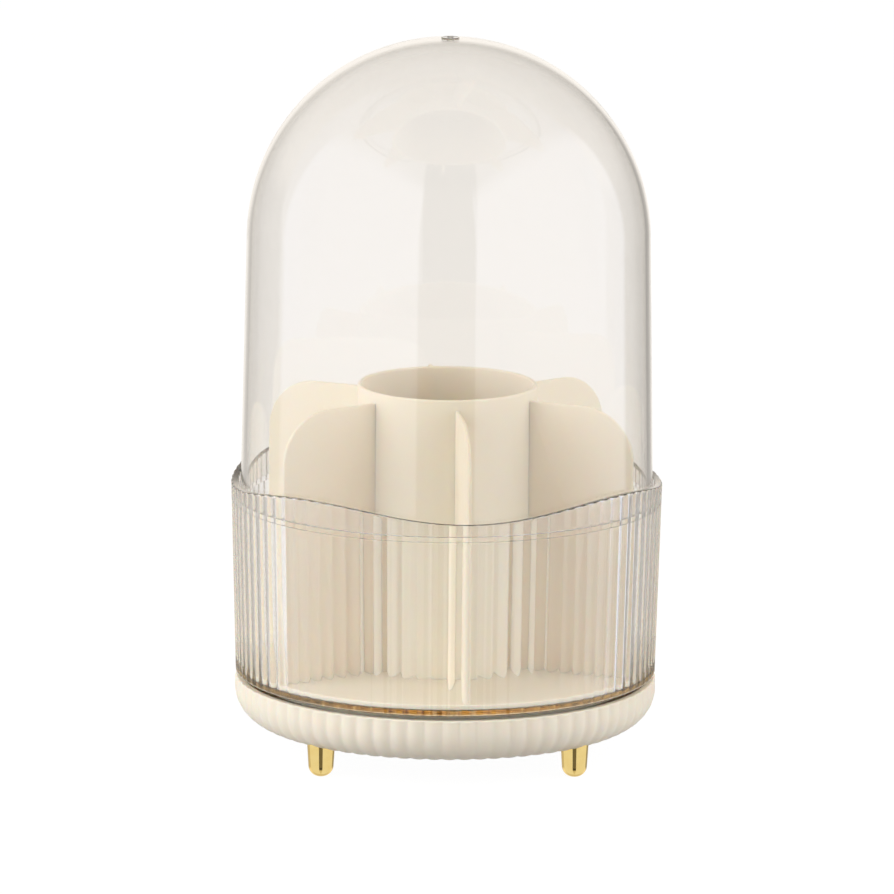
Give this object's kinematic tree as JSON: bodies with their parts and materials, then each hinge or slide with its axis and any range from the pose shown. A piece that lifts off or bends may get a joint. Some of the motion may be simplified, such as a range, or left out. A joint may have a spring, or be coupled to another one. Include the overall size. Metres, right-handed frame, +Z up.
{
  "type": "makeup brush holder",
  "caption": "Turning makeup brush holder: clear reeded cup with a fin divider under a lift-off clear dome, on a reeded base with tapered feet.",
  "frame": {"origin": "middle of the plane that the feet stand on", "axes": "+Z up along the turning axis, -Y to the front"},
  "size_m": [0.1492, 0.1492, 0.25],
  "materials": {
    "clear_plastic": "clear polished moulding",
    "cream_plastic": "satin moulded plastic, cream",
    "gold_plate": "polished gold plate",
    "steel": "bright zinc plated or ground steel",
    "cage_plastic": "white moulded plastic"
  },
  "bodies": {
    "base": {"base_bowl": "cream_plastic", "front_left_foot": "gold_plate", "front_right_foot": "gold_plate", "rear_left_foot": "gold_plate", "rear_right_foot": "gold_plate", "foot_screws": "steel", "pivot_screw": "steel", "pivot_washer": "steel"},
    "bearing": {"bearing_cage": "cage_plastic", "bearing_balls": "steel"},
    "turntable": {"turntable_disc": "cream_plastic", "fluted_cup": "clear_plastic", "cup_screws": "steel"},
    "insert": {"brush_insert": "cream_plastic"},
    "dome": {"dome_cover": "clear_plastic"}
  },
  "joints": [
    {"name": "turntable_spin", "type": "hinge", "parent": "base", "child": "turntable", "pos_m": [0, 0, 0.0277], "axis": [0, 0, 1], "continuous": true},
    {"name": "bearing_spin", "type": "hinge", "parent": "base", "child": "bearing", "pos_m": [0, 0, 0.02115], "axis": [0, 0, 1], "continuous": true},
    {"name": "insert_lift", "type": "slide", "parent": "turntable", "child": "insert", "axis": [0, 0, 1], "range_m": [0, 0.08]},
    {"name": "dome_lift", "type": "slide", "parent": "insert", "child": "dome", "axis": [0, 0, 1], "range_m": [0, 0.1]}
  ],
  "couplings": [
    {"joint": "bearing_spin", "follows": "turntable_spin", "ratio": 0.5}
  ]
}
